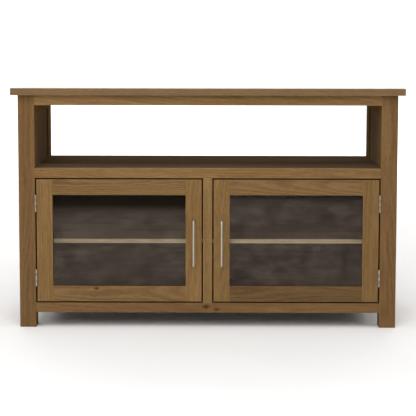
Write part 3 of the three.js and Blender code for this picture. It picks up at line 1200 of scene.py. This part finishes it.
@dataclass
class Shelf(SidedAssembly):
    """A shelf with a pale lipping along its front edge, and the two pegs at its outer end."""

    # pale is how much lighter the lipping is drawn than its tone, a painted light.
    pale: float = 1.0
    lipping: float = 8 * MM
    radius: float = 0.7 * MM

    def build(self) -> None:
        """Adds the shelf, its lipping and the pegs of this side."""
        space = Space.of(f"shelf_{self.name}")
        front, back = space.span(Axis.DEEP)
        oak = Oak(Tone.SHELF, Axis.ACROSS, Axis.DEEP, 0.08, heart=0.03)
        plank = space.cut(Axis.DEEP, front + self.lipping, back)
        self.bench.stick(f"shelf_{self.name}", plank, oak, Slot.SHELVES, self.radius)
        pale = Oak(
            Tone.LIPPING, Axis.ACROSS, Axis.UP, 0.05, heart=0.06, contrast=0.7, shade=self.pale
        )
        strip = space.cut(Axis.DEEP, front, front + self.lipping)
        self.bench.stick(f"shelf_lipping_{self.name}", strip, pale, Slot.SHELVES)
        wall = Space.of(f"side_panel_{self.name}").inner_face(self.side)
        for place in ("front", "rear"):
            node = f"shelf_peg_{self.name}_{place}"
            space = Space.of(node)
            shell = Peg().shell(space.middle, wall, space.inner_face(self.side))
            self.bench.piece(node, shell, Steel(brushed=Axis.ACROSS), Slot.HARDWARE)


@dataclass
class CentrePegs(Assembly):
    """The pegs that pass through the partition and carry both shelves."""

    def build(self) -> None:
        """Adds the two pegs, each made of two halves that meet inside the partition."""
        walls = Space.of("centre_partition").span(Axis.ACROSS)
        for place in ("front", "rear"):
            node = f"shelf_peg_centre_{place}"
            space = Space.of(node)
            tips = space.span(Axis.ACROSS)
            halves = [Peg().shell(space.middle, wall, tip) for wall, tip in zip(walls, tips)]
            self.bench.piece(node, joined(halves), Steel(brushed=Axis.ACROSS), Slot.HARDWARE)


@dataclass
class MagnetCatch(SidedAssembly):
    """A magnetic catch under the deck: its housing, two steel poles and a screw."""

    set_back: float = 0.6 * MM
    pole_inset: float = 8 * MM
    pole_depth: float = 3 * MM
    pole_half: float = 1.2 * MM
    pole_spread: float = 5 * MM
    screw_radius: float = 2.8 * MM

    def build(self) -> None:
        """Adds the housing and its metal parts."""
        node = f"magnet_catch_{self.name}"
        space = Space.of(node)
        (x0, x1), (y0, y1) = space.span(Axis.ACROSS), space.span(Axis.DEEP)
        housing = board(space.cut(Axis.DEEP, y0 + self.set_back, y1), Axis.ACROSS, 1.0 * MM)
        self.bench.piece(node, housing, Plastic(), Slot.CATCH)
        across = (x0 + self.pole_inset, x1 - self.pole_inset)
        x, y, z = space.middle
        poles = []
        for height in (z - self.pole_spread, z + self.pole_spread):
            thick = (height - self.pole_half, height + self.pole_half)
            pole = Space.spanning(across, (y0, y0 + self.pole_depth), thick)
            poles.append(board(pole, Axis.ACROSS, 0.3 * MM))
        screw = screw_head((x, y, space.low[2]), Axis.UP, -1, self.screw_radius)
        metal = joined([*poles, screw])
        self.bench.piece(f"catch_poles_{self.name}", metal, Steel(roughness=0.4), Slot.HARDWARE)


# ---- The doors ----


@dataclass
class Hinge(SidedAssembly):
    """A butt hinge: two leaves with interlocking knuckles, and a pin with rounded heads.

    gap is half the air between two knuckles, soft the rounding of their rims, wall the thickness round the
    pin, shaft the pin's radius, and clearance the air between a leaf and the middle of the pin.
    screw_shift is how far behind the leaf's middle line its screws are. tint is the metal of the frame's
    leaf, and door_leaf_darkening how much darker the door's leaf is drawn.
    """

    place: str
    knuckles: int = 5
    screws: int = 3
    gap: float = 0.8 * MM
    soft: float = 1.2 * MM
    shaft: float = 1.4 * MM
    wall: float = 1.5 * MM
    clearance: float = 0.35 * MM
    screw_shift: float = 2.0 * MM
    screw_radius: float = 2.3 * MM
    head_radius: float = 2.4 * MM
    head_height: float = 1.5 * MM
    tint: Colour = (0.40, 0.36, 0.30)
    door_leaf_darkening: float = 0.7
    middle: Array = field(init=False)
    radius: float = field(init=False)

    def build(self) -> None:
        """Adds the frame's leaf, the door's leaf and the pin."""
        label = f"{self.name}_{self.place}"
        pin = Space.of(f"hinge_pin_{label}")
        self.middle = pin.middle
        self.radius = self.middle[1] - Space.of(f"hinge_frame_leaf_{label}").low[1]
        owners = (("frame", CARCASS, 1.0), ("door", self.door, self.door_leaf_darkening))
        for parity, (owner, body, shade) in enumerate(owners):
            node = f"hinge_{owner}_leaf_{label}"
            steel = Steel(tint=scaled(self.tint, shade), roughness=0.28)
            shell = self._leaf(Space.of(node), owner, parity)
            self.bench.piece(node, shell, steel, Slot.HARDWARE, body)
        foot, top = pin.span(Axis.UP)
        parts = [self._shaft(foot, top), self._head(foot, -1), self._head(top, 1)]
        self.bench.piece(f"hinge_pin_{label}", joined(parts), Steel(), Slot.HARDWARE)

    def _leaf(self, space: Space, owner: str, parity: int) -> Shell:
        """One leaf with its knuckles and screws.

        Args:
            space: The space that the frame's own leaf fills.
            owner: Whether it is the frame's or the door's.
            parity: Whether it has the even or the odd knuckles.
        Returns:
            The closed shells as one.
        """
        bottom, top = space.span(Axis.UP)
        pitch = (top - bottom) / self.knuckles
        towards_post = self.side.sign if owner == "frame" else -self.side.sign
        edge = space.high[0] if towards_post > 0 else space.low[0]
        near = self.middle[0] + towards_post * self.clearance
        front, back = self.middle[1] + 0.6 * self.radius, space.high[1]
        plate = board(Space.spanning((near, edge), (front, back), (bottom, top)), Axis.UP, 0.5 * MM)
        barrels = [
            self._knuckle(bottom + (i + 0.5) * pitch, pitch) for i in range(parity, self.knuckles, 2)
        ]
        depth = (front + back) / 2 + self.screw_shift
        heads = [
            screw_head((near, depth, z), Axis.ACROSS, -towards_post, self.screw_radius)
            for z in np.linspace(0.17, 0.83, self.screws) * (top - bottom) + bottom
        ]
        return joined([plate, *barrels, *heads])

    def _knuckle(self, height: float, pitch: float) -> Shell:
        """One knuckle, with its rims rounded.

        Args:
            height: The height of its middle.
            pitch: The length of the pin that it takes, with its share of the gaps.
        Returns:
            The closed shell.
        """
        half, rim = pitch / 2 - self.gap, 0.3 * self.soft
        lower = [
            (self.radius - self.wall, -half),
            (self.radius - self.soft, -half),
            (self.radius - rim, rim - half),
            (self.radius, self.soft - half),
        ]
        return turned([*lower, *facing(lower, -1)], (*self.middle[:2], height), Axis.UP)

    def _shaft(self, foot: float, top: float) -> Shell:
        """The pin's shaft, which shows between the knuckles and ends inside its two heads.

        Args:
            foot: The height of the pin's lower end.
            top: The height of its upper end.
        Returns:
            The closed shell.
        """
        half, ease = (top - foot) / 2 - 1.6 * MM, 0.1 * MM
        lower = [(self.shaft - ease, -half), (self.shaft, ease - half)]
        return turned([*lower, *facing(lower, -1)], self.middle, Axis.UP)

    def _head(self, end: float, outward: int) -> Shell:
        """A rounded head on one end of the pin.

        Args:
            end: Where the pin ends.
            outward: The way out of the hinge, 1 or -1.
        Returns:
            The closed shell.
        """
        angle = np.linspace(0, 0.46 * math.pi, 6)
        profile = [
            (self.head_radius * math.cos(a), self.head_height * (math.sin(a) - 1)) for a in angle
        ]
        return turned(facing(profile, outward), (*self.middle[:2], end), Axis.UP)


@dataclass
class Handle(SidedAssembly):
    """A D-shaped bar handle with a small collar at each foot."""

    bend: float = 6.5 * MM
    collar_radius: float = 3.1 * MM
    collar: float = 0.5 * MM
    tint: Colour = (0.50, 0.465, 0.40)

    def build(self) -> None:
        """Adds the handle.

        The bar's centre line leaves the door square, turns a quarter circle, runs up the grip and turns back.
        """
        node = f"door_handle_{self.name}"
        space = Space.of(node)
        radius = (space.high[0] - space.low[0]) / 2
        x, foot, grip = space.middle[0], space.high[1], space.low[1] + radius
        low, high = space.low[2] + radius, space.high[2] - radius
        turn = np.linspace(0, QUARTER_TURN, 9)
        out, up = self.bend * (1 - np.sin(turn)), self.bend * (1 - np.cos(turn))
        lower = np.stack([grip + out, low + up], axis=1)
        upper = np.stack([lower[::-1, 0], high + low - lower[::-1, 1]], axis=1)
        rise = np.linspace(low + self.bend, high - self.bend, 12)[1:-1]
        straight = np.stack([np.full(len(rise), grip), rise], axis=1)
        line = np.concatenate([[(foot, low)], lower, straight, upper, [(foot, high)]])
        path = np.column_stack([np.full(len(line), x), line])
        bar = bent_bar(path, np.array([1.0, 0.0, 0.0]), radius)
        collars = [self._collar(x, foot, z) for z in (low, high)]
        steel = Steel(tint=self.tint, roughness=0.50)
        self.bench.piece(node, joined([bar, *collars]), steel, Slot.HANDLES, self.door)

    def _collar(self, x: float, foot: float, z: float) -> Shell:
        """The collar round one foot of the bar, against the door.

        Args:
            x: Where the bar is, across the cabinet.
            foot: Where the door's face is, from front to back.
            z: The foot's height.
        Returns:
            The closed shell.
        """
        profile = [
            (self.collar_radius - 0.4 * MM, -self.collar),
            (self.collar_radius, -self.collar + 0.3 * MM),
            (self.collar_radius, 0.0),
        ]
        return turned(profile, (x, foot, z), Axis.DEEP)


@dataclass
class Door(SidedAssembly):
    """A framed glass door: two stiles, two rails, the pane, the beads that hold it, and its metalwork.

    shades says how light each of its four sticks is drawn; the right door's are darker as painted shade, for
    light that falls from the left, and the bottom rails are darker than the top. lip is the wood left in
    front of the glass, play the air round the pane in its rebate, strike_spread how far the strike plate's
    screws are from its middle, and shaded_top the height of the band along the pane's top where the glass's
    mirror is painted dark, a painted shade.
    """

    shades: Mapping[str, float]
    lip: float = 8 * MM
    radius: float = 1.5 * MM
    play: float = 0.2 * MM
    bead_radius: float = 1.8 * MM
    strike_spread: float = 13 * MM
    shaded_top: float = 0.01
    knots: tuple[Knot, ...] = ()
    bead: Space = field(init=False)
    pane: Space = field(init=False)
    rebate: Space = field(init=False)
    sight_x: Span = field(init=False)
    sight_z: Span = field(init=False)

    def build(self) -> None:
        """Adds everything that swings with the door, and its hinges."""
        self.bead = Space.of(f"glazing_bead_{self.name}")
        self.pane = Space.of(f"door_glass_{self.name}")
        self.rebate = Space(self.pane.low - self.play, self.pane.high + self.play)
        stiles = [f"door_{place}_stile_{self.name}" for place in ("hinge", "handle")]
        self.sight_x = clear(Axis.ACROSS, *(stiles if self.side is Side.LEFT else stiles[::-1]))
        self.sight_z = clear(Axis.UP, f"door_bottom_rail_{self.name}", f"door_top_rail_{self.name}")
        for place in ("hinge", "handle"):
            self._stile(place)
        for place in ("bottom", "top"):
            self._rail(place)
        pane = board(self.pane, Axis.DEEP, 0.5 * MM)
        glass = Glass(clear=self.shaded_top)
        self.bench.piece(f"door_glass_{self.name}", pane, glass, Slot.GLASS, self.door)
        self._beads()
        self._strike()
        Handle(self.bench, self.side).build()
        for place in ("top", "bottom"):
            Hinge(self.bench, self.side, place).build()

    def _stile(self, place: str) -> None:
        """Adds a stile: its full width in front of the glass, and cut back behind it for the rebate.

        Args:
            place: Which of the two stiles.
        """
        node = f"door_{place}_stile_{self.name}"
        space = Space.of(node)
        (x0, x1), (y0, y1) = space.span(Axis.ACROSS), space.span(Axis.DEEP)
        step = y0 + self.lip
        low, high = self.rebate.span(Axis.ACROSS)
        if space.middle[0] < sum(self.sight_x) / 2:
            corners = [(x0, y0), (x1, y0), (x1, step), (low, step), (low, y1), (x0, y1)]
        else:
            corners = [(x0, y0), (x1, y0), (x1, y1), (high, y1), (high, step), (x0, step)]
        outline = Outline.cornered(corners, self.radius)
        shell = carried(outline, Axis.UP, space.span(Axis.UP), 0.8 * self.radius)
        oak = Oak(Tone.STILE, Axis.UP, Axis.ACROSS, 0.12, heart=0.05, shade=self.shades[place])
        self.bench.piece(node, shell, oak, Slot.DOORS, self.door)

    def _rail(self, place: str) -> None:
        """Adds a rail between the stiles, with the rebate on its edge beside the glass.

        Behind the lip its shoulders reach on to the stiles' own rebates.

        Args:
            place: Which of the two rails.
        """
        node = f"door_{place}_rail_{self.name}"
        (y0, y1), (z0, z1) = Space.of(node).span(Axis.DEEP), Space.of(node).span(Axis.UP)
        step = y0 + self.lip
        low, high = self.rebate.span(Axis.UP)
        if place == "bottom":
            corners = [(y0, z0), (y1, z0), (y1, low), (step, low), (step, z1), (y0, z1)]
            thick, knots = (z0, low), self.knots
        else:
            corners = [(y0, z0), (step, z0), (step, high), (y1, high), (y1, z1), (y0, z1)]
            thick, knots = (high, z1), ()
        outline = Outline.cornered(corners, self.radius)
        parts = [carried(outline, Axis.ACROSS, self.sight_x, 0.5 * self.radius)]
        for sight, end, lap in zip(self.sight_x, self.rebate.span(Axis.ACROSS), (MM, -MM)):
            shoulder = Space.spanning((sight + lap, end), (step, y1), thick)
            parts.append(board(shoulder, Axis.ACROSS, 0.6 * MM))
        oak = Oak(
            Tone.DOOR_RAIL,
            Axis.ACROSS,
            Axis.UP,
            stave=0.12,
            heart=0.02,
            contrast=1.15,
            arches=0.26,
            shade=self.shades[place],
            knots=knots,
        )
        self.bench.piece(node, joined(parts), oak, Slot.DOORS, self.door)

    def _beads(self) -> None:
        """Adds the four mitred beads behind the glass, each with its inner edge rounded."""
        across, depth, up = (self.bead.span(axis) for axis in Axis)
        sticks = []
        for start, end, sight in zip(up, self.sight_z, (1, -1)):
            outline = Outline.rectangle(depth, (start, end), self.bead_radius)
            mitre = sight * (outline.points[:, 1] - start)
            sticks.append(carried(outline, Axis.ACROSS, across, 0.05 * MM, mitre))
        for start, end, sight in zip(across, self.sight_x, (1, -1)):
            outline = Outline.rectangle((start, end), depth, self.bead_radius)
            mitre = sight * (outline.points[:, 0] - start)
            sticks.append(carried(outline, Axis.UP, up, 0.05 * MM, mitre))
        oak = Oak(Tone.DOOR_RAIL, Axis.ACROSS, Axis.UP, 0.12, heart=0.04)
        self.bench.piece(f"glazing_bead_{self.name}", joined(sticks), oak, Slot.DOORS, self.door)

    def _strike(self) -> None:
        """Adds the strike plate for the catch, with two screws."""
        node = f"strike_plate_{self.name}"
        space = Space.of(node)
        plate = board(space, Axis.ACROSS, 0.5 * MM)
        x, _, z = space.middle
        face = space.high[1] - 0.25 * MM
        heads = [
            screw_head((x + offset, face, z), Axis.DEEP, 1, 2.0 * MM)
            for offset in (-self.strike_spread, self.strike_spread)
        ]
        metal = joined([plate, *heads])
        self.bench.piece(node, metal, Steel(brushed=Axis.ACROSS), Slot.HARDWARE, self.door)


# ---- The studio ----


@dataclass(frozen=True)
class SoftBox:
    """A rectangular light: its place, the point it faces, its width and height, and its watts."""

    name: str
    place: Point
    aim: Point
    size: Span
    power: float

    def hang(self) -> None:
        """Adds the light to the scene."""
        data = bpy.data.lights.new(self.name, "AREA")
        data.shape = "RECTANGLE"
        data.size, data.size_y = self.size
        data.energy = self.power
        light = bpy.data.objects.new(self.name, data)
        light.location = self.place
        way = Vector(self.aim) - Vector(self.place)
        light.rotation_euler = way.to_track_quat("-Z", "Y").to_euler()
        bpy.context.scene.collection.objects.link(light)


CABINET_MIDDLE = (0.0, 0.0, 0.4)
SOFT_BOXES = (
    SoftBox("key_box", (-1.1, -3.15, 2.1), CABINET_MIDDLE, (2.6, 1.6), 49.5),
    SoftBox("high_box", (0.2, -2.4, 3.4), CABINET_MIDDLE, (1.6, 1.2), 44.0),
    SoftBox("wall_box", (0.0, 4.6, 3.4), (0.0, 8.6, 0.4), (4.5, 1.5), 165.0),
    SoftBox("floor_box", (0.0, 4.4, 4.4), (0.0, 4.6, 0.0), (6.0, 3.0), 135.0),
    *(
        SoftBox(
            f"{side.value}_box", (side.sign * 4.4, -0.4, 2.6), CABINET_MIDDLE, (1.6, 1.6), 60.0
        )
        for side in Side
    ),
)


@dataclass
class Studio(Assembly):
    """A pale round dish to stand in, soft lights and the camera.

    spokes is the number of points round the dish, and air the strength of the light from all round.
    pitch, yaw and roll are the camera's turns in degrees, lens its focal length in millimetres, and rise
    its upward shift in widths of the view.
    """

    flat_radius: float = 7.0
    rim_radius: float = 1.6
    wall_height: float = 4.6
    spokes: int = 96
    air: float = 0.41
    eye: Point = (0.0265, -4.3566, 0.9222)
    pitch: float = 5.774
    yaw: float = 0.353
    roll: float = 0.085
    lens: float = 118.21
    rise: float = -0.101

    def build(self) -> None:
        """Adds the floor, the lights and the camera."""
        self._floor()
        self._air()
        for box in SOFT_BOXES:
            box.hang()
        self._camera()

    def _floor(self) -> None:
        """Adds the dish: a flat disc whose rim curves up into a wall, one profile turned round Z."""
        turn = np.linspace(0, QUARTER_TURN, 10)
        curve_r = self.flat_radius + self.rim_radius * np.sin(turn)
        curve_z = self.rim_radius * (1 - np.cos(turn))
        inner = np.array([0.4, 2.0, 4.0])
        radius = np.concatenate([inner, curve_r, curve_r[-1:]])
        height = np.concatenate([np.zeros(len(inner)), curve_z, [self.wall_height]])
        angle = np.linspace(0, FULL_TURN, self.spokes, endpoint=False)
        points = np.empty((len(radius), len(angle), 3))
        points[..., 0] = radius[:, None] * np.cos(angle)
        points[..., 1] = radius[:, None] * np.sin(angle)
        points[..., 2] = height[:, None]
        faces = [face[::-1] for face in ring_faces(len(radius), len(angle), capped=False)]
        faces.append(list(range(len(angle))))
        data = bpy.data.meshes.new("studio_floor")
        data.from_pydata(points.reshape(-1, 3).tolist(), [], faces)
        data.polygons.foreach_set("use_smooth", np.ones(len(data.polygons), bool))
        floor = bpy.data.objects.new("studio_floor", data)
        bpy.context.scene.collection.objects.link(floor)
        order = Order("studio_floor", np.zeros(3), self.bench.luck)
        data.materials.append(StudioPaint().material(order))

    def _air(self) -> None:
        """Adds the pale surroundings."""
        world = bpy.data.worlds.new("studio_air")
        bpy.context.scene.world = world
        world.use_nodes = True
        background = world.node_tree.nodes["Background"]
        background.inputs["Color"].default_value = (1.0, 0.99, 0.98, 1.0)
        background.inputs["Strength"].default_value = self.air

    def _camera(self) -> None:
        """Adds the camera, a little above the cabinet's top and looking slightly down."""
        data = bpy.data.cameras.new("camera")
        data.lens = self.lens
        data.shift_y = self.rise
        camera = bpy.data.objects.new("camera", data)
        camera.location = self.eye
        turn = Matrix.Rotation(math.radians(self.yaw), 3, "Z")
        tilt = Matrix.Rotation(QUARTER_TURN - math.radians(self.pitch), 3, "X")
        lean = Matrix.Rotation(math.radians(self.roll), 3, "Z")
        camera.rotation_euler = (turn @ tilt @ lean).to_euler()
        bpy.context.scene.collection.objects.link(camera)
        bpy.context.scene.camera = camera
        bpy.context.scene.view_settings.view_transform = "Standard"


def main() -> None:
    """Builds every sub-assembly in order."""
    bench = Workbench()
    left_knots = (Knot((-0.3428, -0.1995, 0.1210), 4.6 * MM),)
    # Painted shade: the right door's sticks are drawn darker than the left's, standing in for light falling
    # from the left; both bottom rails are drawn darker than the top rails.
    left_painted_shades = {"hinge": 1.12, "handle": 1.0, "top": 1.04, "bottom": 0.86}
    right_painted_shades = {"hinge": 0.97, "handle": 0.84, "top": 0.87, "bottom": 0.65}
    assemblies = [
        TopBoard(bench),
        Frame(bench),
        *(CabinetEnd(bench, side) for side in Side),
        Boards(bench),
        # Painted light: the right shelf's lipping is drawn much lighter than the left's, for the light that
        # falls on it.
        Shelf(bench, Side.LEFT, pale=0.97),
        Shelf(bench, Side.RIGHT, pale=1.42),
        CentrePegs(bench),
        *(MagnetCatch(bench, side) for side in Side),
        # The left pane's mirror is painted dark along its top, a painted shade.
        Door(bench, Side.LEFT, left_painted_shades, shaded_top=45 * MM, knots=left_knots),
        Door(bench, Side.RIGHT, right_painted_shades),
        Studio(bench),
    ]
    for assembly in assemblies:
        log.info("building %s", type(assembly).__name__)
        assembly.build()
    log.info("%d pieces", bench.made)


if __name__ == "__main__":
    logging.basicConfig(level=logging.INFO, format="%(name)s: %(message)s")
    main()
